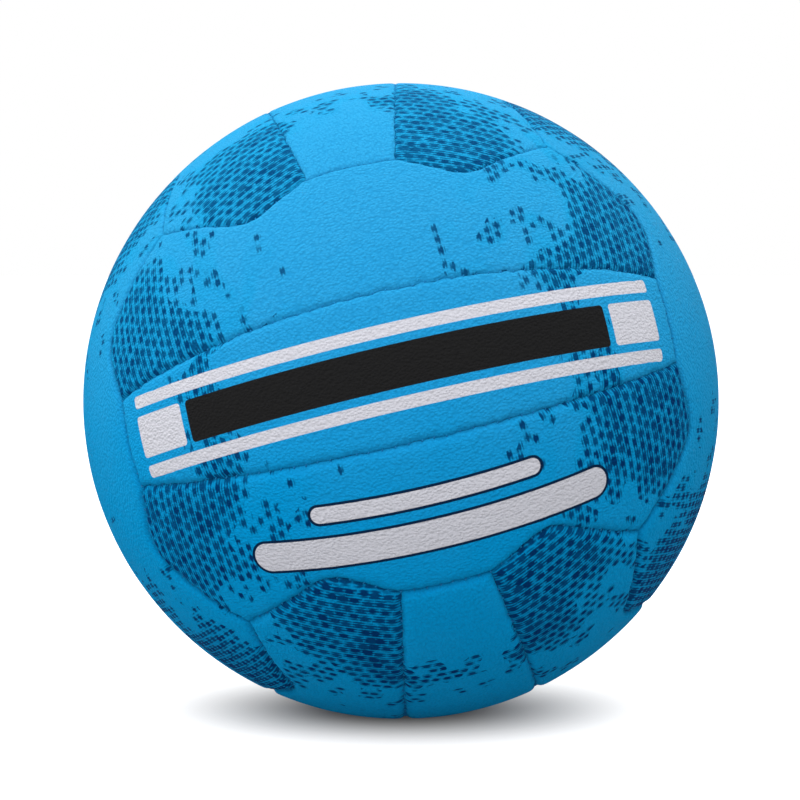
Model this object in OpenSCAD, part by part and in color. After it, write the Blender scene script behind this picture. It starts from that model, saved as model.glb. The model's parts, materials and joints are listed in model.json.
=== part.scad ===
// A hand-stitched netball: eighteen cover panels with fabric linings, their thread, a bladder and its valve.
// Lengths are in millimetres and angles in degrees. The origin is the ball's centre and +Z is up.
// The layout has six faces of three strips. An outer strip's nose bites into the next face.

/* [Ball] */
// Diameter over the panels, about 697 mm round
ball_d = 222; // [180:1:260]
// Nod of the panel layout towards the back
layout_nod_angle = 11.4; // [0:0.1:30]
// Roll of the panel layout about the front to back line
layout_roll_angle = 13.1; // [0:0.1:45]
// Turn of the panel layout about the upright
layout_turn_angle = 0.6; // [0:0.1:30]

/* [Panel outlines] */
// Half width of a centre strip, as an angle at the ball's centre
strip_half_angle = 12.1; // [10:0.1:14]
// Reach of a centre strip's flat end past the edge between two faces
flat_reach_angle = 8.2; // [7:0.1:9]
// Reach of an outer strip's nose past that edge, before its tip is rounded
nose_reach_angle = 13.3; // [12:0.1:15]
// Place of the nose's tip, off the middle of its face's strips
nose_place_angle = 18.2; // [17:0.1:20]
// Radius of the nose's rounded tip, over the ball's surface
nose_round_r = 12; // [6:0.5:14]

/* [Panel build-up] */
// Thickness of the grained cover sheet
cover_t = 1.4; // [1.1:0.1:2]
// Thickness of the cover's turned-in hem, measured across it
hem_t = 1.2; // [0.8:0.1:2]
// Clear gap between the hems of two panels
seam_gap = 0.2; // [0.1:0.05:0.4]
// Radius that rounds a panel's edge into the seam
seam_round_r = 1.4; // [1.1:0.05:1.8]
// Thickness of a fabric lining
lining_t = 1; // [0.6:0.1:1.6]
// Thickness of the bladder's wall
bladder_t = 0.6; // [0.4:0.1:1.2]
// Clearance between one piece and the next
layer_gap = 0.1; // [0.05:0.01:0.15]

/* [Thread] */
// Diameter of the stitching thread
thread_d = 0.6; // [0.4:0.05:0.7]

/* [Valve] */
// Diameter of the hole for the inflating needle
needle_hole_d = 2.2; // [1.8:0.1:2.6]
// Diameter of the needle hole's flared mouth
needle_mouth_d = 4; // [3:0.1:5]
// Depth of the flared mouth
needle_mouth_depth = 1; // [0.5:0.1:2]
// Diameter of the soft plug
plug_d = 6.2; // [5.4:0.1:8]
// Length of the soft plug
plug_len = 12; // [9:0.5:16]
// Thickness of the housing's neck wall and of its bottom lip
neck_t = 1.6; // [1:0.1:2.4]
// Bevel round the neck's face, the plug's ends and the valve's hole in the cover
valve_bevel = 0.4; // [0.2:0.05:0.6]
// Height and width of the taper where the neck meets the flange
neck_taper = 2; // [1:0.1:3]
// Depth of the valve's face below the ball's surface
valve_sink = 0.6; // [0.2:0.1:1.2]
// Diameter of the housing's flange inside the bladder
flange_d = 26; // [20:1:36]
// Thickness of the flange
flange_t = 1; // [0.6:0.1:1.6]
// Diameter of the reinforcing patch round the neck
patch_d = 28; // [22:1:36]

/* [Hidden] */
// The angle from the middle of a face to the edge between two faces
EDGE_ANGLE = 45;
// The largest step between two points of an outline
OUTLINE_STEP_ANGLE = 5;
// Sides of the thread where it is swept along a curved seam
THREAD_SIDES = 6;
// Steps in the rounding of a panel's edge
ROUND_STEPS = 2;
QUARTER_TURN = 90;
HALF_TURN = 180;
// How far a cutting body reaches, as a share of the ball's radius
reach_share = 3;
// How far the rounding's last chord runs on above the surface, as a share of its length
overrun_share = 0.5;
// The roll of the direction that an outer panel's cutting body closes on
hub_roll_angle = 18;

ball_r = ball_d / 2;
reach = reach_share * ball_r;
cover_in_r = ball_r - cover_t;
lining_out_r = cover_in_r - layer_gap;
lining_in_r = lining_out_r - lining_t;
bladder_out_r = lining_in_r - layer_gap;
bladder_in_r = bladder_out_r - bladder_t;
flange_out_r = bladder_in_r - layer_gap;
lining_inset = seam_gap / 2 + hem_t + layer_gap;
pocket_inset = seam_gap / 2 + hem_t;
// The thread lies in the groove between two rounded edges, clear of both
thread_depth = seam_round_r - sqrt(
    pow(seam_round_r + thread_d / 2 + layer_gap, 2) - pow(seam_round_r + seam_gap / 2, 2)
);
thread_r = ball_r - thread_depth;
thread_end_gap = thread_d + layer_gap;
neck_d = plug_d + 2 * layer_gap + 2 * neck_t;
neck_hole_d = neck_d + 2 * layer_gap;
neck_len = plug_len + layer_gap + neck_t;
valve_top = ball_r - valve_sink;

$fn = 96;

// Name and turn of each face, and the names of its outer strips on the +Y and -Y side of the face's own frame.
// In that frame the strips run along X and the face looks along +Z.
FACES = [
    ["front", [90, 0, 0], "upper", "lower"],
    ["back", [90, 0, 180], "upper", "lower"],
    ["top", [0, 0, -90], "right", "left"],
    ["bottom", [180, 0, -90], "left", "right"],
    ["right", [0, 90, 0], "back", "front"],
    ["left", [0, -90, 0], "back", "front"]
];
VALVE_FACE = "back";
PLACES = [for (face = FACES) each [
    [face[0], "centre", face[1], 0],
    [face[0], face[2], face[1], 0],
    [face[0], face[3], face[1], HALF_TURN]
]];
function place_name(place, kind) = str(place[0], "_", place[1], "_", kind);

// Directions and arcs over the sphere
function unit(v) = v / norm(v);
function angle_over(length) = length / ball_r * HALF_TURN / PI;
function angle_between(a, b) = acos(min(1, max(-1, a * b)));
function along(a, b, share) = let (whole = angle_between(a, b))
    (sin((1 - share) * whole) * a + sin(share * whole) * b) / sin(whole);
// The great arc from a to b in even steps, without its last point
function arc_steps(a, b) = let (count = max(1, ceil(angle_between(a, b) / OUTLINE_STEP_ANGLE)))
    [for (i = [0 : count - 1]) along(a, b, i / count)];
function fine_line(points) = concat(
    [for (i = [0 : len(points) - 2]) each arc_steps(points[i], points[i + 1])],
    [points[len(points) - 1]]
);
function reversed(list) = [for (i = [len(list) - 1 : -1 : 0]) list[i]];
function without_last(list) = [for (i = [0 : len(list) - 2]) list[i]];
function flip_x(list) = [for (p = list) [-p[0], p[1], p[2]]];
function flip_y(list) = [for (p = list) [p[0], -p[1], p[2]]];
// A line drawn in the frame of the face next to this one, carried over into this face's own frame
function from_next_face(list) = [for (p = list) [p[1], p[2], p[0]]];

// A point past the end edge of a face: off the middle of its strips, and past the edge
function end_point(off, past) = [
    cos(off) * sin(EDGE_ANGLE + past), sin(off), cos(off) * cos(EDGE_ANGLE + past)
];
junction = unit([tan(EDGE_ANGLE + flat_reach_angle), tan(strip_half_angle), 1]);
corner = unit([1, 1, 1]);
nose_tip = end_point(nose_place_angle, nose_reach_angle);

// The nose's rounded tip: an arc that touches the great arcs from the junction to the tip and on to the corner
nose_round = angle_over(nose_round_r);
flank_in = unit(cross(junction, nose_tip));
flank_out = unit(cross(nose_tip, corner));
flank_sum = (flank_in + flank_out) * sin(nose_round) / (1 + flank_in * flank_out);
round_centre = flank_sum + nose_tip * sqrt(1 - flank_sum * flank_sum);
function off_centre(p) = unit(p - (p * round_centre) * round_centre);
round_from = off_centre(-flank_in);
round_side = cross(round_centre, round_from);
round_sweep = angle_between(round_from, off_centre(-flank_out));
round_count = ceil(round_sweep / (2 * OUTLINE_STEP_ANGLE));
nose_arc = [for (i = [0 : round_count]) let (turn = round_sweep * i / round_count)
    cos(nose_round) * round_centre + sin(nose_round) * (cos(turn) * round_from + sin(turn) * round_side)];

// One half of a face's end line, from the centre strip's junction to the corner, and the whole line
half_end = concat([junction], nose_arc, [corner]);
whole_end = concat(reversed(flip_y(half_end)), half_end);

// Outlines run counter-clockwise as seen from outside the ball
centre_outline = [
    flip_y([junction])[0], junction, flip_x([junction])[0], flip_x(flip_y([junction]))[0]
];
outer_outline = concat(
    without_last(half_end),
    without_last(reversed(from_next_face(whole_end))),
    reversed(flip_x(half_end))
);
function closed(outline) = concat(outline, [outline[0]]);
function fine_outline(outline) = without_last(fine_line(closed(outline)));

// The outline at a radius, drawn in by a distance that is measured at the ball's surface
function ring(outline, radius, inset) = let (count = len(outline)) [
    for (i = [0 : count - 1]) let (
        before = unit(cross(outline[(i + count - 1) % count], outline[i])),
        after = unit(cross(outline[i], outline[(i + 1) % count])),
        inward = (before + after) / (1 + before * after)
    ) radius * unit(ball_r * outline[i] + inset * inward)
];

// A body from the ball's centre through each ring in turn, closed on a hub far outside the ball
module radial_body(rings, hub) {
    count = len(rings[0]);
    last = len(rings) - 1;
    points = concat([[0, 0, 0]], [for (line = rings) each line], [hub]);
    hub_index = len(points) - 1;
    polyhedron(points, concat(
        [for (i = [0 : count - 1]) [0, 1 + i, 1 + (i + 1) % count]],
        [for (k = [1 : 1 : last]) for (i = [0 : count - 1]) let (
            low = 1 + (k - 1) * count,
            high = 1 + k * count,
            next = (i + 1) % count
        ) each [[low + next, low + i, high + i], [low + next, high + i, high + next]]],
        [for (i = [0 : count - 1]) [1 + last * count + (i + 1) % count, 1 + last * count + i, hub_index]]
    ));
}

function centre_hub() = [0, 0, reach];
function outer_hub() = reach * [0, sin(hub_roll_angle), cos(hub_roll_angle)];

// The space over an outline, drawn in by a distance
module outline_space(outline, hub, inset) {
    radial_body([ring(outline, reach, inset)], hub);
}

// The rounding of a panel's edge, as insets and depths, with its last chord run on above the surface
round_spots = [for (i = [0 : ROUND_STEPS]) let (turn = QUARTER_TURN * i / ROUND_STEPS)
    seam_round_r * [1 - cos(turn), 1 - sin(turn)]];
last_chord = round_spots[ROUND_STEPS] - round_spots[ROUND_STEPS - 1];
edge_spots = concat(without_last(round_spots), [round_spots[ROUND_STEPS] + overrun_share * last_chord]);

// A cover sheet whose edge is rounded into the seam and turned in, with a pocket behind it for the lining
module cover_panel(outline, hub) {
    fine = fine_outline(outline);
    difference() {
        intersection() {
            sphere(r = ball_r);
            radial_body([for (spot = edge_spots) ring(fine, ball_r - spot[1], seam_gap / 2 + spot[0])], hub);
        }
        sphere(r = lining_in_r);
        intersection() {
            sphere(r = cover_in_r);
            outline_space(outline, hub, pocket_inset);
        }
    }
}

module lining_panel(outline, hub) {
    difference() {
        intersection() {
            sphere(r = lining_out_r);
            outline_space(outline, hub, lining_inset);
        }
        sphere(r = lining_in_r);
    }
}

module valve_hole(d) {
    cylinder(d = d, h = reach);
}

// A hole through the cover whose rim is bevelled at the ball's surface
module bevelled_hole(d) {
    valve_hole(d);
    translate([0, 0, ball_r - valve_bevel]) cylinder(d1 = d, d2 = d + 4 * valve_bevel, h = 2 * valve_bevel);
}

// A round post up the valve's axis, bevelled at both ends
module bevelled_post(d, from, to) {
    rotate_extrude() polygon([
        [0, from],
        [d / 2 - valve_bevel, from],
        [d / 2, from + valve_bevel],
        [d / 2, to - valve_bevel],
        [d / 2 - valve_bevel, to],
        [0, to]
    ]);
}

module stance() {
    rotate([0, 0, -layout_turn_angle]) rotate([-layout_nod_angle, 0, 0]) rotate([0, -layout_roll_angle, 0]) children();
}

module at_place(place) {
    stance() rotate(place[2]) rotate([0, 0, place[3]]) children();
}

module at_valve() {
    stance() for (face = FACES) if (face[0] == VALVE_FACE) rotate(face[1]) children();
}

module panel(place) {
    color([0.07, 0.56, 0.85]) at_place(place) {
        if (place[1] == "centre") {
            difference() {
                cover_panel(centre_outline, centre_hub());
                if (place[0] == VALVE_FACE) bevelled_hole(neck_hole_d);
            }
        }
        else {
            cover_panel(outer_outline, outer_hub());
        }
    }
}

module lining(place) {
    color([0.86, 0.85, 0.8]) at_place(place) {
        if (place[1] == "centre") {
            difference() {
                lining_panel(centre_outline, centre_hub());
                if (place[0] == VALVE_FACE) valve_hole(patch_d + 2 * layer_gap);
            }
        }
        else {
            lining_panel(outer_outline, outer_hub());
        }
    }
}

// A thread along a line of directions, with its ends drawn back from the corners that it meets
module swept_thread(line) {
    count = len(line);
    end_angle = angle_over(thread_end_gap);
    first = along(line[0], line[1], end_angle / angle_between(line[0], line[1]));
    final = along(line[count - 1], line[count - 2],
        end_angle / angle_between(line[count - 1], line[count - 2]));
    path = [for (i = [0 : count - 1]) i == 0 ? first : i == count - 1 ? final : line[i]];
    rings = [for (i = [0 : count - 1]) let (
        out = path[i],
        ahead = unit(path[min(count - 1, i + 1)] - path[max(0, i - 1)]),
        side = unit(cross(ahead, out))
    ) [for (k = [0 : THREAD_SIDES - 1]) let (turn = 360 * k / THREAD_SIDES)
        thread_r * out + thread_d / 2 * (cos(turn) * out + sin(turn) * side)]];
    polyhedron([for (one = rings) each one], concat(
        [[for (k = [0 : THREAD_SIDES - 1]) k]],
        [for (i = [0 : count - 2]) for (k = [0 : THREAD_SIDES - 1]) let (
            low = i * THREAD_SIDES,
            high = low + THREAD_SIDES,
            next = (k + 1) % THREAD_SIDES
        ) each [[low + next, low + k, high + k], [low + next, high + k, high + next]]],
        [[for (k = [THREAD_SIDES - 1 : -1 : 0]) (count - 1) * THREAD_SIDES + k]]
    ));
}

// The straight seam beside a centre strip, from one junction to the other
module strip_thread() {
    half_sweep = asin(junction[0]) - angle_over(thread_end_gap);
    rotate([QUARTER_TURN - strip_half_angle, 0, 0]) rotate([0, 0, QUARTER_TURN - half_sweep])
        rotate_extrude(angle = 2 * half_sweep) translate([thread_r, 0]) circle(d = thread_d);
}

module seam_thread() {
    edge_line = fine_line(whole_end);
    color([0.05, 0.2, 0.36]) stance() for (face = FACES) rotate(face[1]) for (turn = [0, HALF_TURN])
        rotate([0, 0, turn]) {
            strip_thread();
            swept_thread(edge_line);
        }
}

module bladder() {
    color([0.1, 0.1, 0.1]) at_valve() difference() {
        sphere(r = bladder_out_r);
        sphere(r = bladder_in_r);
        valve_hole(neck_hole_d);
    }
}

// The neck and its bottom lip hold the plug, and a taper joins it to the flange that seats inside the bladder
module valve_housing() {
    color([0.12, 0.12, 0.12]) at_valve() difference() {
        union() {
            bevelled_post(neck_d, valve_top - neck_len, valve_top);
            translate([0, 0, flange_out_r - flange_t - neck_taper])
                cylinder(d1 = neck_d, d2 = neck_d + 2 * neck_taper, h = neck_taper);
            difference() {
                intersection() {
                    sphere(r = flange_out_r);
                    cylinder(d = flange_d, h = reach);
                }
                sphere(r = flange_out_r - flange_t);
            }
        }
        translate([0, 0, valve_top - plug_len - layer_gap]) cylinder(d = plug_d + 2 * layer_gap, h = reach);
        cylinder(d = needle_mouth_d, h = reach);
    }
}

module valve_plug() {
    color([0.2, 0.2, 0.2]) at_valve() difference() {
        bevelled_post(plug_d, valve_top - plug_len, valve_top);
        cylinder(d = needle_hole_d, h = reach);
        translate([0, 0, valve_top - needle_mouth_depth])
            cylinder(d1 = needle_hole_d, d2 = needle_mouth_d, h = needle_mouth_depth);
    }
}

module valve_patch() {
    color([0.62, 0.6, 0.55]) at_valve() difference() {
        intersection() {
            sphere(r = lining_out_r);
            cylinder(d = patch_d, h = reach);
        }
        sphere(r = lining_in_r);
        valve_hole(neck_hole_d);
    }
}

for (place = PLACES) {
    panel(place);
    lining(place);
}
seam_thread();
bladder();
valve_housing();
valve_plug();
valve_patch();
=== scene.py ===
import json
import math

import bpy
import numpy as np
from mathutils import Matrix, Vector, geometry, noise


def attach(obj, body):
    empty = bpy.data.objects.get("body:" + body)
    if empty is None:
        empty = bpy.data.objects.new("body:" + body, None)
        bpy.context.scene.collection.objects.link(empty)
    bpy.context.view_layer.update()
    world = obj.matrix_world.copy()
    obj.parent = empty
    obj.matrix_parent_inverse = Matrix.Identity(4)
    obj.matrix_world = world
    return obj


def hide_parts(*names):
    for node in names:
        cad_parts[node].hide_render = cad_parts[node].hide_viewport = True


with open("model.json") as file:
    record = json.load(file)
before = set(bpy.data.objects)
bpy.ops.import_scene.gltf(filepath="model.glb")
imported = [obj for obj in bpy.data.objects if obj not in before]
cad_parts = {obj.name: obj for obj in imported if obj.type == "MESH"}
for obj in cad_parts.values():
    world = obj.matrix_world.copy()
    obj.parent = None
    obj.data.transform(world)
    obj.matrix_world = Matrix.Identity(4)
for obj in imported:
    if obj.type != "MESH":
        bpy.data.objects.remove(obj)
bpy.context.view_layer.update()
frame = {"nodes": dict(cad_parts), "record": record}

# Panel pieces are worked out in millimetres round the ball's centre, and come into the scene in metres
MM = 0.001

# The ball, its stance and its panels' outlines, in millimetres and degrees, as in the CAD model
BALL_R = 111.0
LAYOUT_NOD = 11.4
LAYOUT_ROLL = 13.1
LAYOUT_TURN = 0.6
EDGE_ANGLE = 45.0
STRIP_HALF = 12.1
FLAT_REACH = 8.2
NOSE_REACH = 13.3
NOSE_PLACE = 18.2
NOSE_ROUND_R = 12.0
COVER_T = 1.4
LINING_IN_DEPTH = 2.5
HEM_T = 1.2
NECK_HOLE_R = 4.9

# How a panel's edge sinks into its seam: sizes in millimetres, and how far noise changes them, as shares
HALF_GAP = 0.06
GROOVE_DEPTH = 1.12
GROOVE_WIDTH = 1.15
GROOVE_CURVE = 1.4
GROOVE_LOOSE = 0.5
SHOULDER_DEPTH = 0.26
SHOULDER_WIDTH = 1.9
SHOULDER_UNEVEN = 0.6
SHOULDER_LOOSE = 0.4
STITCH_PITCH = 4.0
PUCKER_DEPTH = 0.11
PUCKER_WIDTH = 1.3
PUCKER_LOOSE = 0.6
UNEVEN_DEPTH = 0.1
UNEVEN_SIZE = 14.0
LOOSE_SIZE = 5.0

# Seams get shallower and narrower between two heights, which are shares of the radius above the middle
TOP_FROM = -0.25
TOP_TO = 0.75
TOP_SHALLOW = 0.55
TOP_NARROW = 0.5

# How the skin strays along the ball beside a seam, in millimetres
SWAY_REACH = 0.5
SWAY_SIZE = 3.0
SWAY_WIDTH = 4.0

# The skin's sink at the valve's hole, in millimetres
HOLE_SINK = 0.5
HOLE_EASE = 0.6
HOLE_REACH = 4.0

# The seeds of the noise that shapes the skin and spreads the ink, and the shift that one seed stands for
UNEVEN_SEED = 1
LOOSE_SEED = 2
PATCH_SEED = 3
DRIFT_SEED = 4
SWAY_SEEDS = (5, 6, 7)
SEED_SHIFT = (7.31, 3.17, 5.77)

# Spacing of mesh points over a panel, in millimetres
EDGE_STEP = 0.8
EDGE_ROWS = (0.12, 0.3, 0.55, 0.9, 1.35, 1.95, 2.8, 3.9)
ROW_SLACK = 0.02
FACE_STEP = 1.5
FACE_CLEAR = 0.6
HEM_EDGE = 0.05
BACK_ROWS = (HEM_T - HEM_EDGE, HEM_T + HEM_EDGE)
BACK_STEP = 6.0
HOLE_SIDES = 48
HOLE_CLEAR = 0.4

# Where an outer strip is laid flat from, in degrees, and limits for spreading and joining points
HUB_ROLL = 18.0
HUB_NEAR = 0.3
HEX_SHARE = 0.866
WELD_REACH = 1e-7
POINTS_AT_ONCE = 1500

# Stitches across the seams, in millimetres and degrees
STITCH_LENGTH = 1.1
STITCH_R = 0.24
STITCH_DEPTH = 1.2
STITCH_DIP = 0.3
STITCH_SLANT = 28.0
STITCH_BLUNT = 6
STITCH_TIP = 0.04
STITCH_SIDES = 8
STITCH_RINGS = 7

# How much ink the print has over the ball, and the size of its patches in millimetres
INK_LEVEL = 0.93
INK_RIGHT = 0.16
INK_UP = -0.08
INK_RANGE = (0.6, 1.15)
PATCH_SIZE = 13.0
DRIFT_SHARE = 0.7

# Ink on the outer strips, a dense block at each end with sparse ink past it: millimetres, and shares
INK_REACH = 52.0
INK_SLOPE = 24.0
INK_STRAY = 14.0
BLOCK_LEAD = 9.0
BLOCK_FADE = 22.0
BLOCK_LEVEL = 0.88
BLOCK_DRIFT = 0.25
BLOCK_PATCHES = 0.2
CORNER_REACH = 11.0
CORNER_STRAY = 9.0
CORNER_FADE = 9.0
CORNER_LEVEL = 0.2
SPARSE_LEVEL = 0.36
SPARSE_LEAD = 44.0
SPARSE_FADE = 34.0
SPARSE_DRIFT = 2.2
SPARSE_SHARE = 0.55

# Ink on the centre strips, a broken band across each end: millimetres, and shares
BAND_PLACE = 40.0
BAND_WIDTH = 11.0
BAND_MIDDLE = 0.4
BAND_EDGE = 0.7
BAND_EDGE_WIDTH = 7.0
BAND_LEVEL = 0.65
BAND_DRIFT = 1.4
BAND_PATCHES = 0.5

# The halftone's dashes: the tilt of their layout in degrees, sizes in metres, and the rest as shares
PRINT_TILT = 22.0
DASH_COLUMN = 0.0032
DASH_ROW = 0.00395
DASH_WIDTH = 0.0020
DASH_LENGTH = 0.0027
DASH_STRAY = 0.26
DASH_LEVEL = 0.78
DASH_GAIN = 0.2
DASH_EDGE = (-0.35, 0.3)
DASH_INK = 0.8
DASH_STROKES = 3
STROKE_SLANT = 0.06
STROKE_REACH = 0.16
STROKE_STRAY = 0.6
STROKE_EDGE = (-0.95, -0.1)
FRINGE_INK = 0.5
HALO_REACH = 1.2
HALO_COVER = 0.86
GROUP_SHARE = 0.28
LONE_SHARE = 0.22
PRINT_STEP = 0.02
FLOOD_SIZE = 0.0065
FLOOD_NOISE = (0.52, 0.72)
FLOOD_INK = (0.5, 0.9)
FLOOD_GROWTH = 0.5

# The layer of white noise that each part of the print draws its chances from
DASH_LAYER = 0.5
GROUP_LAYER = 1.5
STROKE_LAYER = 2.5

# The print's tint and its streaks of thin ink, and how its depth changes over the ball, as painted shade that
# darkens it towards the bottom and the right
TINT_INK = (0.05, 0.5)
INK_TINT = 0.55
STREAK_WIDTH = 0.0011
STREAK_LENGTH = 0.006
UNDER_RANGE = (0.3, 0.85)
UNDER_INK = 0.14
UNDER_FROM = 0.62
INK_DEPTH = 0.985
PAINTED_SHADE_INK_RISE = -0.95
PAINTED_SHADE_INK_RIGHT = 0.3

# The rubber's grain, and the blue that changes in blotches and with height, where a painted sheen makes it
# paler towards the top, in metres
COVER_SURFACE = {"Roughness": 0.8, "Specular IOR Level": 0.015, "Diffuse Roughness": 0.9}
GRAIN_SIZE = 0.0008
GRAIN_STRETCH = 1.3
GRAIN_WANDER = 0.0007
WANDER_SIZE = 0.0035
GRAIN_DEPTH = 0.00042
GRAIN_STRENGTH = 1.0
# The share of painted shade in the pits between the grain's pebbles
GRAIN_SHADE = 0.26
PIT_RANGE = (0.35, 0.75)
SHEEN_FULL_AT = 0.08
SHEEN_GONE_AT = -0.05
BLOTCH_SIZE = 0.03
BLOTCH_SHARE = 0.5

# Painted shade in the seams, a dark line where the grooves fall into shade: its width in millimetres, and its
# share of the colour
PAINTED_SEAM_SHADE_WIDTH = 0.8
PAINTED_SEAM_SHADE_SHARE = 0.3

# Cloth, moulded rubber and waxed thread: sizes in metres, and the ranges that shade from dark to light
CLOTH_ROUGHNESS = 0.85
FUZZ_SIZE = 0.004
FUZZ_SHARE = 0.8
CLOTH_RANGE = (-1.0, 1.6)
CLOTH_DEPTH = 0.2
CLOTH_STRENGTH = 0.6
CLOUD_SPECKS = 8
CLOUD_DETAIL = 3.0
CLOUD_RANGE = (0.3, 0.7)
SPECK_DEPTH = 0.15
SPECK_STRENGTH = 0.5
THREAD_SURFACE = {"Roughness": 0.7, "Specular IOR Level": 0.15}
TWIST_SIZE = 0.0015
TWIST_TURNS = 40.0
TWIST_DEPTH = 0.00006
TWIST_STRENGTH = 0.5

# Colours, as linear shares of red, green and blue
# The blue at the top carries a painted sheen, and the blue below has none
BLUE_PAINTED_SHEEN = (0.028, 0.345, 0.643, 1)
BLUE_WITHOUT_SHEEN = (0.0012, 0.318, 0.655, 1)
# The blue of the painted shade between the grain's pebbles
BLUE_PIT_PAINTED_SHADE = (0.003, 0.21, 0.46, 1)
INK_FILTER = (0.0, 1, 1, 1)
INK_UNDER = (0.0015, 0.13, 0.31, 1)
INK_DARK = (0.0002, 0.034, 0.135, 1)
# The colour of the painted shade in the seams
PAINTED_SEAM_SHADE_COLOUR = (0.003, 0.10, 0.24, 1)
BLACK = (0.0155, 0.0155, 0.0160, 1)
OFF_WHITE = (0.61, 0.612, 0.665, 1)
NAVY = (0.003, 0.02, 0.06, 1)
THREAD_LIGHT = (0.006, 0.23, 0.50, 1)
THREAD_DARK = (0.004, 0.15, 0.36, 1)
WHITE = (1, 1, 1, 1)

# Printed bars in metres: colour, spread, and (middle, middle, half length, half width, corner)
PRINT_SOFT = 0.00012
BAND_BARS = (
    (BLACK, 0.0, (0, 0, 0.0705, 0.0066, 0.0012)),
    (OFF_WHITE, 0.0, (-0.0835, 0, 0.0105, 0.0066, 0.0012)),
    (OFF_WHITE, 0.0, (0.0835, 0, 0.0105, 0.0066, 0.0012)),
    (OFF_WHITE, 0.0, (0, 0.0112, 0.094, 0.0020, 0.0012)),
    (OFF_WHITE, 0.0, (0, -0.0112, 0.094, 0.0020, 0.0012)),
)
LINE_BARS = (
    (NAVY, 0.0009, (0, 0.0100, 0.058, 0.0048, 0.0048)),
    (OFF_WHITE, 0.0, (0, 0.0100, 0.058, 0.0048, 0.0048)),
    (NAVY, 0.0009, (0, -0.0024, 0.036, 0.0026, 0.0026)),
    (OFF_WHITE, 0.0, (0, -0.0024, 0.036, 0.0026, 0.0026)),
)

# Cloths by material slot: name, light and dark colour, and the thread's size in metres
CLOTHS = {
    "lining": ("lining_weave", (0.72, 0.70, 0.63, 1), (0.45, 0.43, 0.38, 1), 0.0012),
    "patch": ("patch_canvas", (0.5, 0.46, 0.38, 1), (0.3, 0.27, 0.22, 1), 0.0008),
}

# Rubbers by material slot: name, light and dark colour, roughness, and the specks' size in metres
RUBBERS = {
    "bladder": ("bladder_butyl", (0.03, 0.03, 0.032, 1), (0.012, 0.012, 0.013, 1), 0.62, 0.0012),
    "valve_rubber": ("valve_neck", (0.03, 0.03, 0.033, 1), (0.014, 0.014, 0.016, 1), 0.45, 0.0005),
    "valve_plug": ("valve_plug", (0.05, 0.05, 0.053, 1), (0.025, 0.025, 0.028, 1), 0.38, 0.0004),
}

# The camera, in ball radii, degrees, millimetres of sensor and pixels of the photo
CAMERA_RADII = 6.0
CAMERA_RISE = 6.0
SENSOR_WIDTH = 36.0
CLIP_START = 0.01
IMAGE_SIZE = 800
OUTLINE_R_PX = 318.0
OUTLINE_OFF_PX = 1.0

# The floor and the world's even light, with sizes in metres
FLOOR_SIZE = 8.0
FLOOR_TONE = (0.41, 0.41, 0.41, 1)
FLOOR_TONE_2 = (0.43, 0.43, 0.43, 1)
FLOOR_ROUGHNESS = 0.9
SPECKLE_SIZE = 0.02
FLOOR_CLEAR_FROM = 0.007
FLOOR_CLEAR_TO = 0.060
SHADOW_LONG = 1.95
WORLD_FILL = 0.33

# Round lamps that face the ball: name, place and size in metres, and watts
SOFTBOXES = (
    ("key", (-0.22, -0.65, 0.93), 1.8, 24.0),
    ("back", (0.3, 1.0, 0.7), 1.6, 10.5),
)

# The panel layout: each face's name, its turn, and the strips beside its centre strip
FACES = {
    "front": ((90, 0, 0), "upper", "lower"),
    "back": ((90, 0, 180), "upper", "lower"),
    "top": ((0, 0, -90), "right", "left"),
    "bottom": ((180, 0, -90), "left", "right"),
    "right": ((0, 90, 0), "back", "front"),
    "left": ((0, -90, 0), "back", "front"),
}
VALVE_FACE = "back"
BANDED_FACE = "front"
LINED_STRIP = ("front", "lower")


def unit(v):
    return v / np.linalg.norm(v, axis=-1, keepdims=True)


def turned(degrees, axis):
    """The matrix of a turn about an axis, 0, 1 or 2, by the right-hand rule."""
    c, s = math.cos(math.radians(degrees)), math.sin(math.radians(degrees))
    i, j = [(1, 2), (2, 0), (0, 1)][axis]
    out = np.eye(3)
    out[i, i] = out[j, j] = c
    out[i, j], out[j, i] = -s, s
    return out


def turned_xyz(angles):
    return turned(angles[2], 2) @ turned(angles[1], 1) @ turned(angles[0], 0)


STANCE = turned(-LAYOUT_TURN, 2) @ turned(-LAYOUT_NOD, 0) @ turned(-LAYOUT_ROLL, 1)
HALF_TURN = turned(180, 2)


def end_point(off, past):
    """A direction past the end edge of a face: off the middle of its strips, and past the edge."""
    off, past = math.radians(off), math.radians(EDGE_ANGLE + past)
    return np.array([math.cos(off) * math.sin(past), math.sin(off), math.cos(off) * math.cos(past)])


def great_arc(a, b):
    """Even points along the great arc from a to b."""
    whole = math.acos(np.clip(a @ b, -1, 1))
    share = np.linspace(0, 1, max(2, math.ceil(whole * BALL_R / EDGE_STEP) + 1))[:, None]
    return (np.sin((1 - share) * whole) * a + np.sin(share * whole) * b) / math.sin(whole)


# The places that the seams are drawn between, on the face whose middle is up and whose strips run along X
JUNCTION = unit(np.array([
    math.tan(math.radians(EDGE_ANGLE + FLAT_REACH)), math.tan(math.radians(STRIP_HALF)), 1
]))
CORNER = unit(np.ones(3))
NOSE_TIP = end_point(NOSE_PLACE, NOSE_REACH)
FLIP_X = np.array([-1, 1, 1])
FLIP_Y = np.array([1, -1, 1])


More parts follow.
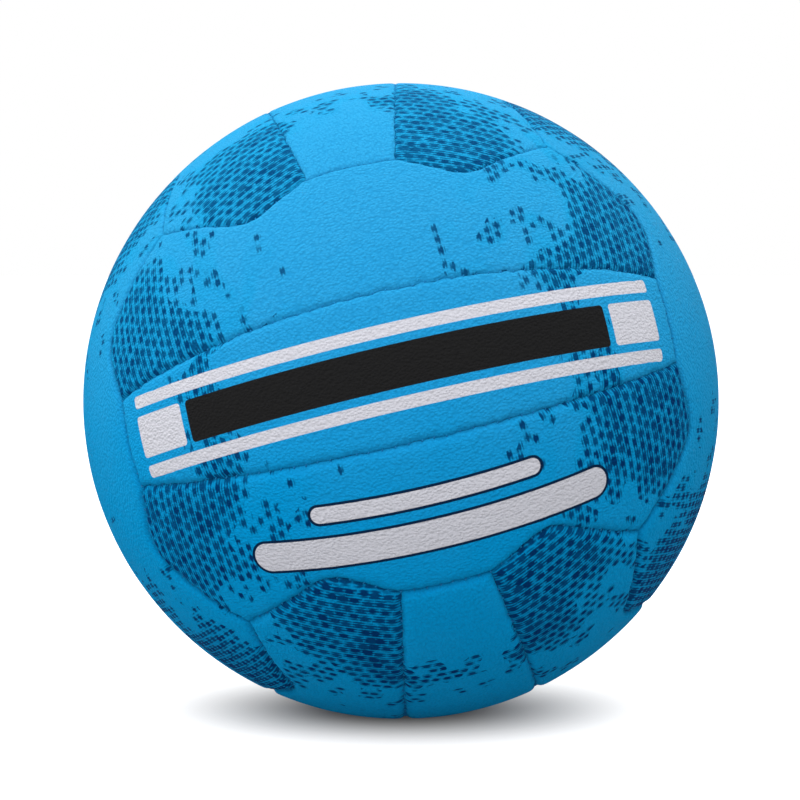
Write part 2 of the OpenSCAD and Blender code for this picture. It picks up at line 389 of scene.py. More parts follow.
def nose_arc():
    """The nose's rounded tip, an arc that touches the great arcs on both sides of it."""
    size = NOSE_ROUND_R / BALL_R
    flank_in, flank_out = unit(np.cross(JUNCTION, NOSE_TIP)), unit(np.cross(NOSE_TIP, CORNER))
    drawn = (flank_in + flank_out) * math.sin(size) / (1 + flank_in @ flank_out)
    centre = drawn + NOSE_TIP * math.sqrt(1 - drawn @ drawn)
    first = unit(-flank_in + (flank_in @ centre) * centre)
    last = unit(-flank_out + (flank_out @ centre) * centre)
    side = np.cross(centre, first)
    sweep = math.acos(np.clip(first @ last, -1, 1))
    turn = np.linspace(0, sweep, math.ceil(sweep * NOSE_ROUND_R / EDGE_STEP) + 1)[:, None]
    return math.cos(size) * centre + math.sin(size) * (np.cos(turn) * first + np.sin(turn) * side)


def seam(points):
    """A seam's points, and how far along it each is from the seam's middle."""
    steps = np.linalg.norm(np.diff(points, axis=0), axis=1) * BALL_R
    along = np.concatenate([[0], np.cumsum(steps)])
    return points, np.abs(along - along[-1] / 2)


def cut_seam(line, keep):
    return line[0][keep], line[1][keep]


ARC = nose_arc()
HALF_END = np.concatenate([great_arc(JUNCTION, ARC[0])[:-1], ARC, great_arc(ARC[-1], CORNER)[1:]])
FLAT_END = great_arc(JUNCTION * FLIP_Y, JUNCTION)
END_SEAM = seam(np.concatenate([(HALF_END * FLIP_Y)[::-1], FLAT_END[1:-1], HALF_END]))
STRIP_SEAM = seam(great_arc(JUNCTION * FLIP_X, JUNCTION))
HALF_COUNT = len(HALF_END)
FLAT_PART = slice(HALF_COUNT - 1, HALF_COUNT + len(FLAT_END) - 1)
NOSE_PART = slice(HALF_COUNT + len(FLAT_END) - 2, None)


def moved(line, change=1, backwards=False, next_face=False):
    """A seam mirrored, run backwards, or carried over from the next face's frame into this one's."""
    points, along = line
    if next_face:
        points = points[:, [1, 2, 0]]
    points = points * change
    return (points[::-1], along[::-1]) if backwards else (points, along)


def centre_outline():
    """The seams round a centre strip, counter-clockwise as seen from outside."""
    flat = cut_seam(END_SEAM, FLAT_PART)
    return [
        flat,
        moved(STRIP_SEAM, backwards=True),
        moved(flat, FLIP_X, backwards=True),
        moved(STRIP_SEAM, FLIP_Y),
    ]


def outer_outline():
    """The seams round the outer strip on the +Y side, counter-clockwise as seen from outside."""
    nose = cut_seam(END_SEAM, NOSE_PART)
    return [
        STRIP_SEAM,
        nose,
        moved(END_SEAM, backwards=True, next_face=True),
        moved(nose, FLIP_X, backwards=True),
    ]


def loop_of(outline):
    return np.concatenate([points[:-1] for points, _ in outline])


def drawn_in(loop, inset):
    """A closed line over the ball, moved inwards by a distance at the ball's surface."""
    before = unit(np.cross(np.roll(loop, 1, 0), loop))
    after = unit(np.cross(loop, np.roll(loop, -1, 0)))
    inward = (before + after) / (1 + (before * after).sum(1, keepdims=True))
    return unit(BALL_R * loop + inset * inward)


def seam_distance(points, outline):
    """Each point's distance to the nearest seam, and that place's distance from the seam's middle."""
    start = np.concatenate([line[:-1] for line, _ in outline]) * BALL_R
    end = np.concatenate([line[1:] for line, _ in outline]) * BALL_R
    start_along = np.concatenate([along[:-1] for _, along in outline])
    end_along = np.concatenate([along[1:] for _, along in outline])
    step = end - start
    length2 = (step ** 2).sum(1)
    distance, place = [], []
    for part in np.array_split(points * BALL_R, max(1, len(points) // POINTS_AT_ONCE)):
        away = part[:, None, :] - start[None]
        share = np.clip((away * step).sum(2) / length2, 0, 1)
        gap = np.linalg.norm(away - share[..., None] * step, axis=2)
        best = gap.argmin(1)
        row = np.arange(len(part))
        distance.append(gap[row, best])
        found = share[row, best]
        place.append(start_along[best] * (1 - found) + end_along[best] * found)
    return np.concatenate(distance), np.concatenate(place)


def even_points(step):
    """Points spread evenly over the whole sphere, about a step apart."""
    count = int(4 * math.pi * BALL_R ** 2 / (HEX_SHARE * step ** 2))
    turn = np.arange(count) + 0.5
    height = 1 - 2 * turn / count
    angle = turn * math.pi * (1 + math.sqrt(5))
    flat = np.sqrt(1 - height ** 2)
    return np.stack([flat * np.cos(angle), flat * np.sin(angle), height], 1)


def flat_map(points, hub):
    """Points over the ball, laid out on a plane without stretching small shapes."""
    across = unit(np.cross(hub, [1.0, 0.0, 0.0]))
    along = np.cross(across, hub)
    scale = 2 * BALL_R / (1 + points @ hub)
    return np.stack([points @ along, points @ across], 1) * scale[:, None]


def inside_loop(spots, loop):
    """Which spots of a plane lie inside a closed line."""
    inside = np.zeros(len(spots), bool)
    for (ax, ay), (bx, by) in zip(loop, np.roll(loop, -1, 0)):
        crosses = (ay > spots[:, 1]) != (by > spots[:, 1])
        if crosses.any():
            rise = np.where(crosses, (spots[:, 1] - ay) / ((by - ay) or 1), 0)
            inside ^= crosses & (spots[:, 0] < ax + rise * (bx - ax))
    return inside


def hole_ring(radius):
    """A ring of directions round the face's own axis."""
    turn = np.linspace(0, 2 * math.pi, HOLE_SIDES, endpoint=False)
    size = math.asin(radius / BALL_R)
    height = np.full(HOLE_SIDES, math.cos(size))
    return np.stack([np.cos(turn) * math.sin(size), np.sin(turn) * math.sin(size), height], 1)


def triangles_over(rim, hole, inner, hub):
    """Triangles over a panel from its rim, its hole's ring and the points between them."""
    points = np.concatenate([rim, hole, inner])
    flat = flat_map(points, hub)
    rim_count, hole_count = len(rim), len(hole)
    ring = [(rim_count + i, rim_count + (i + 1) % hole_count) for i in range(hole_count)]
    _, _, faces, origins, _, _ = geometry.delaunay_2d_cdt(
        [Vector(p) for p in flat], ring, [list(range(rim_count))], 1, WELD_REACH
    )
    source = [origin[0] for origin in origins]
    faces = np.array([[source[i] for i in face] for face in faces])
    in_ring = (faces >= rim_count) & (faces < rim_count + hole_count)
    return points, faces[~in_ring.all(1)]


def panel_points(outline, hub, rows, step, hole_r):
    """A panel's rim, its hole's ring, and the points between them in rows beside the seams."""
    rim = drawn_in(loop_of(outline), HALF_GAP)
    hole = hole_ring(hole_r) if hole_r else np.zeros((0, 3))
    inner = []
    for row in rows:
        line = drawn_in(loop_of(outline), row)
        distance, _ = seam_distance(line, outline)
        inner.append(line[distance > row - ROW_SLACK])
    spread = even_points(step)
    spread = spread[spread @ hub > HUB_NEAR]
    spread = spread[inside_loop(flat_map(spread, hub), flat_map(rim, hub))]
    distance, _ = seam_distance(spread, outline)
    inner.append(spread[distance > rows[-1] + FACE_CLEAR * step])
    inner = np.concatenate(inner)
    if hole_r:
        inner = inner[np.hypot(inner[:, 0], inner[:, 1]) * BALL_R > hole_r + HOLE_CLEAR]
    return rim, hole, inner


def strip_places(points, tilt):
    """Millimetres along and across a strip, from the middle of the great arc that it is printed along."""
    x, y, z = (points @ turned(tilt, 0).T).T
    return np.stack([BALL_R * np.arctan2(x, z), BALL_R * np.arcsin(np.clip(y, -1, 1))], 1)


def panel_form(outline, hub, tilt=0.0, hole_r=0):
    """What all panels of one kind share: points and triangles of the skin and of the hemmed back, as
    unit directions with rims of one count, and where they lie from the seams and in the print."""
    form = {}
    for side, rows, step in (("front", EDGE_ROWS, FACE_STEP), ("back", BACK_ROWS, BACK_STEP)):
        rim, hole, inner = panel_points(outline, hub, rows, step, hole_r)
        form[side] = triangles_over(rim, hole, inner, hub)
        form[side + "_seam"] = seam_distance(form[side][0], outline)
    form["rim"] = len(rim)
    form["hole"] = len(hole)
    form["strip"] = np.concatenate([strip_places(form[side][0], tilt) for side in ("front", "back")])
    return form


def noise_at(points, size, seed):
    """Smooth noise from -1 to 1 over the ball, with blobs of about a size in millimetres."""
    shift = Vector([seed * part for part in SEED_SHIFT])
    return np.array([noise.noise(Vector(p) / size + shift) for p in points])


def seam_size(directions):
    """How deep and how wide seams are, as shares that go down towards the top of the ball."""
    high = np.clip((directions[..., 2] - TOP_FROM) / (TOP_TO - TOP_FROM), 0, 1)
    return 1 - TOP_SHALLOW * high, 1 - TOP_NARROW * high


def skin_depth(directions, distance, place):
    """How far a panel's skin lies below the ball's surface."""
    tight = (0.5 - 0.5 * np.cos(2 * math.pi * place / STITCH_PITCH)) ** 2
    uneven = noise_at(directions * BALL_R, UNEVEN_SIZE, UNEVEN_SEED)
    loose = noise_at(directions * BALL_R, LOOSE_SIZE, LOOSE_SEED)
    deep, wide = seam_size(directions)
    groove_width = GROOVE_WIDTH * wide * (1 + GROOVE_LOOSE * loose)
    groove = GROOVE_DEPTH * np.exp(-(distance / groove_width) ** GROOVE_CURVE)
    shoulder = SHOULDER_DEPTH * np.exp(-(distance / (SHOULDER_WIDTH * wide)) ** 2)
    shoulder = shoulder * (1 + SHOULDER_UNEVEN * uneven + SHOULDER_LOOSE * loose)
    pucker = PUCKER_DEPTH * tight * np.exp(-distance / PUCKER_WIDTH) * (1 + PUCKER_LOOSE * loose)
    return (groove + shoulder * deep + pucker) * deep + UNEVEN_DEPTH * (0.5 + 0.5 * uneven)


def sway(directions):
    """How far the skin strays along the ball beside the seams, in millimetres."""
    parts = [noise_at(directions * BALL_R, SWAY_SIZE, seed) for seed in SWAY_SEEDS]
    stray = np.stack(parts, 1) * SWAY_REACH
    return stray - (stray * directions).sum(1, keepdims=True) * directions


def hole_easing(points, hole_r):
    """The extra sink of the skin beside a hole round the face's axis."""
    if not hole_r:
        return 0
    off = np.hypot(points[:, 0], points[:, 1]) * BALL_R - hole_r
    near = (points[:, 2] > 0) & (off < HOLE_REACH)
    return np.where(near, HOLE_SINK * np.exp(-np.clip(off, 0, None) / HOLE_EASE), 0)


def block_ink(points, from_end, patches, drift):
    """Ink on an outer strip: a dense block at each end, bare at its corner, with sparse ink past it."""
    roll = np.degrees(np.arctan2(points[:, 1], points[:, 2]))
    away = np.clip((roll - STRIP_HALF) / (EDGE_ANGLE - STRIP_HALF), 0, 1)
    reach = INK_REACH - INK_SLOPE * away + INK_STRAY * patches
    core = np.clip((reach + BLOCK_LEAD - from_end) / BLOCK_FADE, 0, 1)
    broken = np.clip(drift * SPARSE_DRIFT + SPARSE_SHARE, 0, 1)
    sparse = SPARSE_LEVEL * np.clip((reach + SPARSE_LEAD - from_end) / SPARSE_FADE, 0, 1) * broken
    to_corner = BALL_R * np.arccos(np.clip(np.abs(points) @ CORNER, -1, 1))
    clear = np.clip((to_corner - CORNER_REACH - CORNER_STRAY * patches) / CORNER_FADE, 0, 1)
    block = core * (CORNER_LEVEL + (1 - CORNER_LEVEL) * clear)
    block = block * (BLOCK_LEVEL + BLOCK_DRIFT * drift + BLOCK_PATCHES * patches)
    return np.maximum(block, sparse)


def band_ink(distance, from_end, patches, drift):
    """Ink on a centre strip: a broken band across each end, denser beside the seams."""
    band = np.exp(-((from_end - BAND_PLACE) / BAND_WIDTH) ** 2)
    beside = BAND_MIDDLE + BAND_EDGE * np.exp(-distance / BAND_EDGE_WIDTH)
    return band * beside * (BAND_LEVEL + BAND_DRIFT * drift + BAND_PATCHES * patches)


def ink_over(points, world, outer, distance):
    """How densely the halftone is printed, from 0, bare, to 1."""
    arc = BALL_R * np.arcsin(np.clip(np.abs(points[:, 0]), 0, 1))
    from_end = BALL_R * math.asin(JUNCTION[0]) - arc
    patches = noise_at(world * BALL_R, PATCH_SIZE, PATCH_SEED)
    drift = noise_at(world * BALL_R, PATCH_SIZE * DRIFT_SHARE, DRIFT_SEED)
    heavy = np.clip(INK_LEVEL + INK_RIGHT * world[:, 0] + INK_UP * world[:, 2], *INK_RANGE)
    if outer:
        ink = block_ink(points, from_end, patches, drift)
    else:
        ink = band_ink(distance, from_end, patches, drift)
    return np.clip(heavy * ink, 0, 1)


def placed(name, data):
    """A new object in the scene."""
    thing = bpy.data.objects.new(name, data)
    bpy.context.scene.collection.objects.link(thing)
    return thing


def add_piece(name, mesh, material, slot, *nodes):
    """Puts a mesh in the scene as a piece that rides on the ball."""
    piece = placed(name, mesh)
    mesh.materials.append(material)
    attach(piece, "root")
    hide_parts(*nodes)


def panel_piece(name, node, form, turn, outer, hole_r, material):
    """One cover panel: its skin, the walls of its edge, and its hemmed back."""
    to_world = (STANCE @ turn).T
    front, front_faces = form["front"]
    back, back_faces = form["back"]
    front_world, back_world = front @ to_world, back @ to_world
    distance, place = form["front_seam"]
    depth = skin_depth(front_world, distance, place) + hole_easing(front, hole_r)
    back_depth = np.where(form["back_seam"][0] < HEM_T, LINING_IN_DEPTH, COVER_T)
    swayed = sway(front_world) * np.exp(-(distance / SWAY_WIDTH) ** 2)[:, None]
    spots = np.concatenate([
        front_world * (BALL_R - depth)[:, None] + swayed,
        back_world * (BALL_R - back_depth)[:, None],
    ])
    faces = front_faces.tolist() + (back_faces[:, ::-1] + len(front)).tolist()
    for first, count, way in ((0, form["rim"], 1), (form["rim"], form["hole"], -1)):
        for i in range(count):
            low, high = first + i, first + (i + 1) % count
            quad = [low, low + len(front), high + len(front), high]
            faces.append(quad[::way])
    mesh = bpy.data.meshes.new(name)
    mesh.from_pydata((spots * MM).tolist(), [], faces)
    deep, wide = seam_size(front_world)
    # Painted shade along each seam, fainter where the seams grow shallow towards the top of the ball
    painted_seam_shade = np.exp(-(distance / (PAINTED_SEAM_SHADE_WIDTH * wide)) ** 2) * np.sqrt(deep)
    amounts = {"ink": ink_over(front, front_world, outer, distance), "painted_seam_shade": painted_seam_shade}
    for label, amount in amounts.items():
        spread = mesh.attributes.new(label, "FLOAT", "POINT")
        spread.data.foreach_set("value", np.concatenate([amount, np.zeros(len(back))]).astype(np.float32))
    layer = mesh.uv_layers.new(name="strip")
    corners = np.zeros(len(mesh.loops), np.int32)
    mesh.loops.foreach_get("vertex_index", corners)
    layer.uv.foreach_set("vector", (form["strip"] * MM)[corners].astype(np.float32).ravel())
    mesh.shade_smooth()
    add_piece(name, mesh, material, "cover", node)


def stitch_places(line):
    """Directions and ways along a seam at each of its stitches."""
    points, along = line
    half = along[0]
    count = int((half - STITCH_PITCH) / STITCH_PITCH)
    signed = np.linspace(-half, half, len(points))
    steps = (np.arange(-count, count) + 0.5) * STITCH_PITCH
    spots = unit(np.stack([np.interp(steps, signed, points[:, i]) for i in range(3)], 1))
    ahead = unit(np.stack([np.interp(steps + 1, signed, points[:, i]) for i in range(3)], 1))
    return spots, unit(ahead - spots)


def stitch_mesh(lines):
    """Short slanted stitches that dip into the panels on both sides of each seam."""
    turn = np.linspace(0, 2 * math.pi, STITCH_SIDES, endpoint=False)
    steps = np.linspace(-1, 1, STITCH_RINGS)
    swell = np.sqrt(np.clip(1 - np.abs(steps) ** STITCH_BLUNT, STITCH_TIP, 1))
    slant = math.radians(STITCH_SLANT)
    spots, faces = [], []
    for line in lines:
        places, ways = stitch_places(line)
        for out, along, strayed in zip(places, ways, sway(places)):
            across = np.cross(out, along)
            way = across * math.cos(slant) + along * math.sin(slant)
            side = np.cross(out, way)
            ring = np.cos(turn)[:, None] * out + np.sin(turn)[:, None] * side
            start = len(spots) * STITCH_SIDES
            middle_r = BALL_R - STITCH_DEPTH * seam_size(out)[0]
            for step, width in zip(steps, swell):
                centre = out * (middle_r - STITCH_DIP * step ** 2) + way * step * STITCH_LENGTH / 2
                spots.append(centre + strayed + STITCH_R * width * ring)
            for k in range(STITCH_RINGS - 1):
                low, high = start + k * STITCH_SIDES, start + (k + 1) * STITCH_SIDES
                for i in range(STITCH_SIDES):
                    j = (i + 1) % STITCH_SIDES
                    faces.append([low + i, low + j, high + j, high + i])
            last = start + (STITCH_RINGS - 1) * STITCH_SIDES
            faces.append([start + i for i in range(STITCH_SIDES - 1, -1, -1)])
            faces.append([last + i for i in range(STITCH_SIDES)])
    mesh = bpy.data.meshes.new("seam_stitches")
    mesh.from_pydata((np.concatenate(spots) * MM).tolist(), [], faces)
    mesh.shade_smooth()
    return mesh


class Nodes:
    """A node tree, with short calls for what the materials and the world are made of."""

    def __init__(self, tree):
        self.tree = tree

    def node(self, kind, inputs=None, **settings):
        made = self.tree.nodes.new(kind)
        for key, value in settings.items():
            setattr(made, key, value)
        for key, value in (inputs or {}).items():
            self.put(made.inputs[key], value)
        return made

    def put(self, socket, value):
        """Links a value to a socket, or sets it there when it is a constant."""
        if isinstance(value, bpy.types.NodeSocket):
            self.tree.links.new(value, socket)
        else:
            socket.default_value = value

    def math(self, operation, *values):
        inputs = dict(enumerate(values))
        return self.node("ShaderNodeMath", inputs, operation=operation).outputs[0]

    def add(self, a, b):
        return self.math("ADD", a, b)

    def subtract(self, a, b):
        return self.math("SUBTRACT", a, b)

    def multiply(self, a, b):
        return self.math("MULTIPLY", a, b)

    def divide(self, a, b):
        return self.math("DIVIDE", a, b)

    def ramp(self, value, low, high):
        """0 below low and 1 above high, with a smooth step between."""
        inputs = {"Value": value, "From Min": low, "From Max": high}
        return self.node("ShaderNodeMapRange", inputs, interpolation_type="SMOOTHSTEP").outputs["Result"]

    def mix(self, share, a, b, blend="MIX"):
        """A share of colour b over colour a, through the mix node's sockets for colours."""
        made = self.node("ShaderNodeMix", data_type="RGBA", blend_type=blend)
        for place, value in ((0, share), (6, a), (7, b)):
            self.put(made.inputs[place], value)
        return made.outputs[2]

    def vector(self, x, y, z=0.0):
        return self.node("ShaderNodeCombineXYZ", {"X": x, "Y": y, "Z": z}).outputs[0]

    def parts(self, vector):
        """The X, Y and Z of a vector."""
        return list(self.node("ShaderNodeSeparateXYZ", {"Vector": vector}).outputs)

    def attribute(self, label):
        return self.node("ShaderNodeAttribute", attribute_name=label).outputs["Fac"]

    def place(self):
        """The place on the object, which the grain and weaves are laid out by."""
        return self.node("ShaderNodeTexCoord").outputs["Object"]

    def noise(self, size, detail=2.0):
        """Noise from 0 to 1 with blobs of a size in metres."""
        inputs = {"Vector": self.place(), "Scale": 1 / size, "Detail": detail}
        return self.node("ShaderNodeTexNoise", inputs).outputs[0]

    def chances(self, x, y, layer):
        """White noise that is even over each cell of a grid, as a node."""
        inputs = {"Vector": self.vector(x, y, layer)}
        return self.node("ShaderNodeTexWhiteNoise", inputs, noise_dimensions="3D")

    def seen(self):
        """1 for what the camera sees, straight, mirrored or through glass, and 0 for other light."""
        path = self.node("ShaderNodeLightPath")
        bent = self.math("MAXIMUM", path.outputs["Is Glossy Ray"], path.outputs["Is Transmission Ray"])
        return self.math("MAXIMUM", path.outputs["Is Camera Ray"], bent)


class Shader(Nodes):
    """A material's nodes, with its surface shader."""

    def __init__(self, name, **surface):
        self.material = bpy.data.materials.new(name)
        self.material.use_nodes = True
        super().__init__(self.material.node_tree)
        self.tree.nodes.clear()
        self.surface = self.node("ShaderNodeBsdfPrincipled", surface)
        output = self.node("ShaderNodeOutputMaterial")
        self.put(output.inputs["Surface"], self.surface.outputs[0])

    def colour(self, value):
        self.put(self.surface.inputs["Base Color"], value)

    def bump(self, height, depth, strength):
        inputs = {"Height": height, "Distance": depth, "Strength": strength}
        self.put(self.surface.inputs["Normal"], self.node("ShaderNodeBump", inputs).outputs[0])


def dash_distance(shader, cells, strays):
    """The distance from the middle of a cell's dash, where its rim is at 1."""
    squares = []
    for cell, stray, size in zip(cells, strays, (DASH_WIDTH / DASH_COLUMN, DASH_LENGTH / DASH_ROW)):
        middle = shader.add(0.5, shader.multiply(shader.subtract(stray, 0.5), DASH_STRAY))
        off = shader.divide(shader.subtract(shader.math("FRACT", cell), middle), size / 2)
        squares.append(shader.multiply(off, off))
    return shader.math("SQRT", shader.add(*squares))


def halftone(shader, along, across, ink):
    """Staggered columns of dashes, combed by fine strokes, larger where the ink is denser."""
    column = shader.divide(along, DASH_COLUMN)
    column_number = shader.math("FLOOR", column)
    shift = shader.multiply(shader.math("FLOORED_MODULO", column_number, 2.0), 0.5)
    row = shader.add(shader.divide(across, DASH_ROW), shift)
    row_number = shader.math("FLOOR", row)

    # Dashes go missing one by one and in groups of four where the ink is thin
    lone = shader.chances(column_number, row_number, DASH_LAYER).outputs["Color"]
    stray_x, stray_y, chance = shader.parts(lone)
    halves = [shader.math("FLOOR", shader.divide(number, 2.0)) for number in (column_number, row_number)]
    group = shader.chances(*halves, GROUP_LAYER).outputs["Value"]
    miss = shader.add(shader.multiply(group, GROUP_SHARE), shader.multiply(chance, LONE_SHARE))
    printed = shader.ramp(shader.subtract(ink, miss), 0.0, PRINT_STEP)

    # Fine strokes run along the columns, and each reaches past its dash by chance
    leaning = shader.add(column, shader.multiply(across, STROKE_SLANT / DASH_COLUMN))
    strokes = shader.multiply(leaning, DASH_STROKES)
    stroke = shader.math("COSINE", shader.multiply(shader.subtract(strokes, 0.5), 2 * math.pi))
    jag = shader.chances(shader.math("FLOOR", strokes), row_number, STROKE_LAYER).outputs["Value"]

    # A dash grows with the ink, and more where ink has flooded
    flood = shader.multiply(shader.ramp(shader.noise(FLOOD_SIZE), *FLOOD_NOISE), shader.ramp(ink, *FLOOD_INK))
    size = shader.add(DASH_LEVEL, shader.multiply(shader.add(ink, chance), DASH_GAIN))
    size = shader.add(size, shader.multiply(flood, FLOOD_GROWTH))
    reach = dash_distance(shader, (column, row), (stray_x, stray_y))
    room = shader.add(shader.subtract(size, reach), shader.multiply(stroke, STROKE_REACH))
    strength = shader.add(DASH_INK, shader.multiply(stray_x, 1 - DASH_INK))
    inside = shader.multiply(shader.ramp(room, *DASH_EDGE), strength)
    ragged = shader.add(shader.multiply(jag, STROKE_STRAY), shader.multiply(ink, FRINGE_INK))
    fringe = shader.add(room, shader.subtract(ragged, STROKE_STRAY / 2 + FRINGE_INK))
    halo = shader.multiply(shader.ramp(fringe, -HALO_REACH, 0.0), shader.ramp(stroke, *STROKE_EDGE))
    cover = shader.math("MAXIMUM", inside, shader.multiply(halo, HALO_COVER))
    return shader.multiply(cover, printed)


def rounded_bar(shader, along, across, bar, spread):
    """A printed bar with round corners: its middle, half length, half width and corner radius."""
    middle_x, middle_y, half_x, half_y, corner = bar
    squares = []
    for place, middle, half in ((along, middle_x, half_x), (across, middle_y, half_y)):
        gap = shader.subtract(shader.math("ABSOLUTE", shader.subtract(place, middle)), half - corner)
        gap = shader.math("MAXIMUM", gap, 0.0)
        squares.append(shader.multiply(gap, gap))
    away = shader.math("SQRT", shader.add(*squares))
    return shader.ramp(away, corner + spread + PRINT_SOFT, corner + spread - PRINT_SOFT)


def grain(shader, along, across):
    """The distance from the middle of the grain's nearest pebble."""
    wander = shader.multiply(shader.subtract(shader.noise(WANDER_SIZE), 0.5), GRAIN_WANDER)
    skewed = shader.vector(shader.divide(along, GRAIN_STRETCH), shader.add(across, wander))
    inputs = {"Vector": skewed, "Scale": 1 / GRAIN_SIZE}
    return shader.node("ShaderNodeTexVoronoi", inputs, feature="F1").outputs["Distance"]


def rubber_colour_and_painted_light(shader, height, pebbles):
    """The rubber's blue with painted light: a painted sheen makes it paler towards the top and deeper below,
    and painted shade darkens it between the pebbles.
    """
    blotches = shader.multiply(shader.subtract(shader.noise(BLOTCH_SIZE), 0.5), BLOTCH_SHARE)
    # The share of the blue without sheen rises down the ball as the painted sheen fades, and changes in
    # blotches
    low = shader.add(shader.ramp(height, SHEEN_FULL_AT, SHEEN_GONE_AT), blotches)
    blue_with_painted_sheen = shader.mix(low, BLUE_PAINTED_SHEEN, BLUE_WITHOUT_SHEEN)
    # Painted shade darkens the pits between the pebbles
    return shader.mix(shader.multiply(shader.ramp(pebbles, *PIT_RANGE), GRAIN_SHADE), blue_with_painted_sheen, BLUE_PIT_PAINTED_SHADE)


def printed_colour(shader, colour, along, across, right, height):
    """The halftone over a colour: a tint, streaks of thin ink, and the dashes themselves."""
    ink = shader.attribute("ink")
    # Painted shade: the dashes and the thin ink under them are darker towards the bottom and the right of the
    # ball
    change = shader.add(shader.multiply(right, PAINTED_SHADE_INK_RIGHT), shader.multiply(height, PAINTED_SHADE_INK_RISE))
    depth = shader.add(INK_DEPTH, change)
    combed = shader.vector(shader.divide(along, STREAK_WIDTH), shader.divide(across, STREAK_LENGTH))
    streaks = shader.node("ShaderNodeTexNoise", {"Vector": combed, "Scale": 1.0, "Detail": 2.0}).outputs[0]
    tint = shader.multiply(shader.ramp(ink, *TINT_INK), INK_TINT)
    colour = shader.mix(tint, colour, INK_FILTER, "MULTIPLY")
    under = shader.multiply(shader.ramp(ink, *UNDER_RANGE), shader.subtract(depth, UNDER_FROM))
    under = shader.multiply(under, shader.multiply(streaks, 2 * UNDER_INK / (1 - UNDER_FROM)))
    colour = shader.mix(under, colour, INK_UNDER)
    return shader.mix(shader.multiply(halftone(shader, along, across, ink), depth), colour, INK_DARK)


def cover_material(name, bars=()):
    """Grained rubber with its halftone print, and printed bars of (colour, spread, bar)."""
    shader = Shader(name, **COVER_SURFACE)
    along, across, _ = shader.parts(shader.node("ShaderNodeUVMap", uv_map="strip").outputs[0])
    right, _, height = shader.parts(shader.place())
    pebbles = grain(shader, along, across)
    colour = rubber_colour_and_painted_light(shader, height, pebbles)
    colour = printed_colour(shader, colour, along, across, right, height)
    for bar_colour, spread, bar in bars:
        colour = shader.mix(rounded_bar(shader, along, across, bar, spread), colour, bar_colour)
    # Painted shade darkens the colour along the seams
    shader.colour(shader.mix(shader.multiply(shader.attribute("painted_seam_shade"), PAINTED_SEAM_SHADE_SHARE), colour, PAINTED_SEAM_SHADE_COLOUR))
    shader.bump(shader.multiply(pebbles, -1.0), GRAIN_DEPTH, GRAIN_STRENGTH)
    return shader.material


def weave_material(name, light, dark, thread_size):
    """A woven cloth of crossing threads."""
    shader = Shader(name, Roughness=CLOTH_ROUGHNESS)
    x, _, z = shader.parts(shader.place())
    waves = [shader.math("SINE", shader.multiply(axis, 2 * math.pi / thread_size)) for axis in (x, z)]
    weave = shader.multiply(*waves)
    fuzz = shader.multiply(shader.noise(FUZZ_SIZE), FUZZ_SHARE)
    shader.colour(shader.mix(shader.ramp(shader.add(weave, fuzz), *CLOTH_RANGE), dark, light))
    shader.bump(weave, thread_size * CLOTH_DEPTH, CLOTH_STRENGTH)
    return shader.material


def moulded_material(name, light, dark, roughness, speck):
    """Moulded rubber with faint clouding and fine specks."""
    shader = Shader(name, Roughness=roughness)
    clouds = shader.ramp(shader.noise(speck * CLOUD_SPECKS, CLOUD_DETAIL), *CLOUD_RANGE)
    shader.colour(shader.mix(clouds, dark, light))
    shader.bump(shader.noise(speck), speck * SPECK_DEPTH, SPECK_STRENGTH)
    return shader.material


def thread_material(name, light, dark):
    """Waxed twisted thread."""
    shader = Shader(name, **THREAD_SURFACE)
    twist = shader.math("SINE", shader.multiply(shader.noise(TWIST_SIZE), TWIST_TURNS))
    shader.colour(shader.mix(shader.ramp(twist, -1.0, 1.0), dark, light))
    shader.bump(twist, TWIST_DEPTH, TWIST_STRENGTH)
    return shader.material


def floor_material():
    """White round the ball wherever the camera looks, down to the shadow under it."""
    shader = Shader("floor_white", Roughness=FLOOR_ROUGHNESS)
    speckle = shader.ramp(shader.noise(SPECKLE_SIZE), 0.0, 1.0)
    shader.colour(shader.mix(speckle, FLOOR_TONE, FLOOR_TONE_2))
    x, y, _ = shader.parts(shader.place())
    squares = [shader.math("POWER", part, 2.0) for part in (shader.divide(x, SHADOW_LONG), y)]
    away = shader.math("SQRT", shader.add(*squares))
    clear = shader.ramp(away, FLOOR_CLEAR_FROM, FLOOR_CLEAR_TO)
    shader.put(shader.surface.inputs["Emission Color"], WHITE)
    shader.put(shader.surface.inputs["Emission Strength"], shader.multiply(clear, shader.seen()))
    return shader.material


def build_world():
    """White where the camera looks past the floor, and a softer even light on the object."""
    world = bpy.data.worlds.new("studio")
    bpy.context.scene.world = world
    world.use_nodes = True
    nodes = Nodes(world.node_tree)
    background = world.node_tree.nodes["Background"]
    strength = nodes.node("ShaderNodeMapRange", {"Value": nodes.seen(), "To Min": WORLD_FILL})
    nodes.put(background.inputs["Strength"], strength.outputs[0])
    nodes.put(background.inputs["Color"], WHITE)


def build_floor():
    size = FLOOR_SIZE / 2
    low = -BALL_R * MM
    corners = [(-size, -size, low), (size, -size, low), (size, size, low), (-size, size, low)]
    mesh = bpy.data.meshes.new("floor")
    mesh.from_pydata(corners, [], [(0, 1, 2, 3)])
    mesh.materials.append(floor_material())
    floor = placed("floor", mesh)


def aim(thing, spot):
    """Puts a lamp or the camera at a spot, facing the ball's middle."""
    thing.location = spot
    thing.rotation_euler = (Vector() - Vector(spot)).to_track_quat("-Z", "Y").to_euler()


def add_softbox(name, spot, size, power):
    lamp = bpy.data.lights.new(name, "AREA")
    lamp.shape = "DISK"
    lamp.size = size
    lamp.energy = power
    aim(placed(name, lamp), spot)


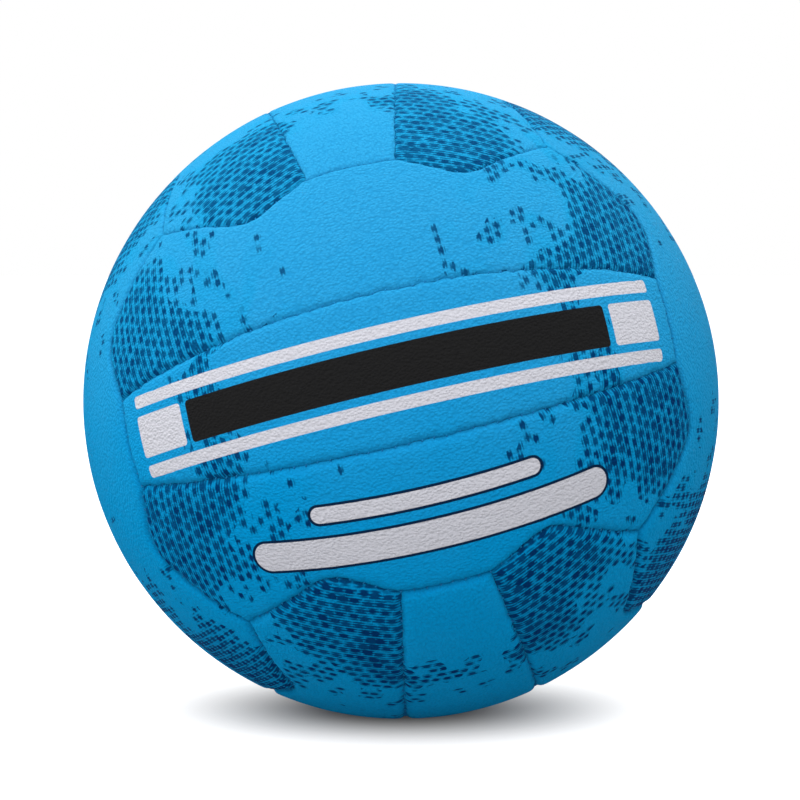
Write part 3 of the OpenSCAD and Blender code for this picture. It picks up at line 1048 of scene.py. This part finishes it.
def build_camera():
    """The camera of the photograph: level with the ball, a little above its middle."""
    lens_angle = math.asin(1 / CAMERA_RADII)
    half_view = math.atan(IMAGE_SIZE / 2 / OUTLINE_R_PX * math.tan(lens_angle))
    camera = bpy.data.cameras.new("camera")
    camera.sensor_width = SENSOR_WIDTH
    camera.angle = 2 * half_view
    camera.shift_x = -OUTLINE_OFF_PX / IMAGE_SIZE
    camera.shift_y = OUTLINE_OFF_PX / IMAGE_SIZE
    camera.clip_start = CLIP_START
    thing = placed("camera", camera)
    rise = math.radians(CAMERA_RISE)
    distance = CAMERA_RADII * BALL_R * MM
    aim(thing, (0, -distance * math.cos(rise), distance * math.sin(rise)))
    bpy.context.scene.camera = thing


def build_panels():
    """The eighteen cover panels, each placed from the form of its kind."""
    plain = cover_material("cover_plain")
    banded = cover_material("cover_banded", BAND_BARS)
    lined = cover_material("cover_lined", LINE_BARS)
    centre_hub = np.array([0.0, 0, 1])
    outer_hub = turned(-HUB_ROLL, 0) @ centre_hub
    centre = panel_form(centre_outline(), centre_hub)
    outer = panel_form(outer_outline(), outer_hub, PRINT_TILT)
    valved = panel_form(centre_outline(), centre_hub, hole_r=NECK_HOLE_R)
    for face, (angles, plus, minus) in FACES.items():
        turn = turned_xyz(angles)
        form, hole_r = (valved, NECK_HOLE_R) if face == VALVE_FACE else (centre, 0)
        look = banded if face == BANDED_FACE else plain
        panel_piece(f"{face}_centre_cover", f"{face}_centre_panel", form, turn, False, hole_r, look)
        for strip, strip_turn in ((plus, turn), (minus, turn @ HALF_TURN)):
            look = lined if (face, strip) == LINED_STRIP else plain
            panel_piece(f"{face}_{strip}_cover", f"{face}_{strip}_panel", outer, strip_turn, True, 0, look)


def build_stitches():
    """The stitches of every seam, as one piece."""
    lines = []
    for angles, _, _ in FACES.values():
        for turn in (turned_xyz(angles), turned_xyz(angles) @ HALF_TURN):
            to_world = (STANCE @ turn).T
            lines += [(points @ to_world, along) for points, along in (STRIP_SEAM, END_SEAM)]
    material = thread_material("waxed_thread", THREAD_LIGHT, THREAD_DARK)
    add_piece("seam_stitches", stitch_mesh(lines), material, "thread", "seam_thread")


def dress_inside():
    """Looks for the CAD nodes that stay: the linings, the bladder and the valve."""
    looks = {slot: weave_material(*look) for slot, look in CLOTHS.items()}
    looks.update({slot: moulded_material(*look) for slot, look in RUBBERS.items()})
    for part in frame["record"]["subparts"]:
        look = looks.get(part["material_slot"])
        if look:
            mesh = frame["nodes"][part["node"]].data
            mesh.materials.clear()
            mesh.materials.append(look)


scene = bpy.context.scene
scene.view_settings.view_transform = "Standard"
build_camera()
build_world()
build_floor()
for lamp in SOFTBOXES:
    add_softbox(*lamp)
build_panels()
build_stitches()
dress_inside()
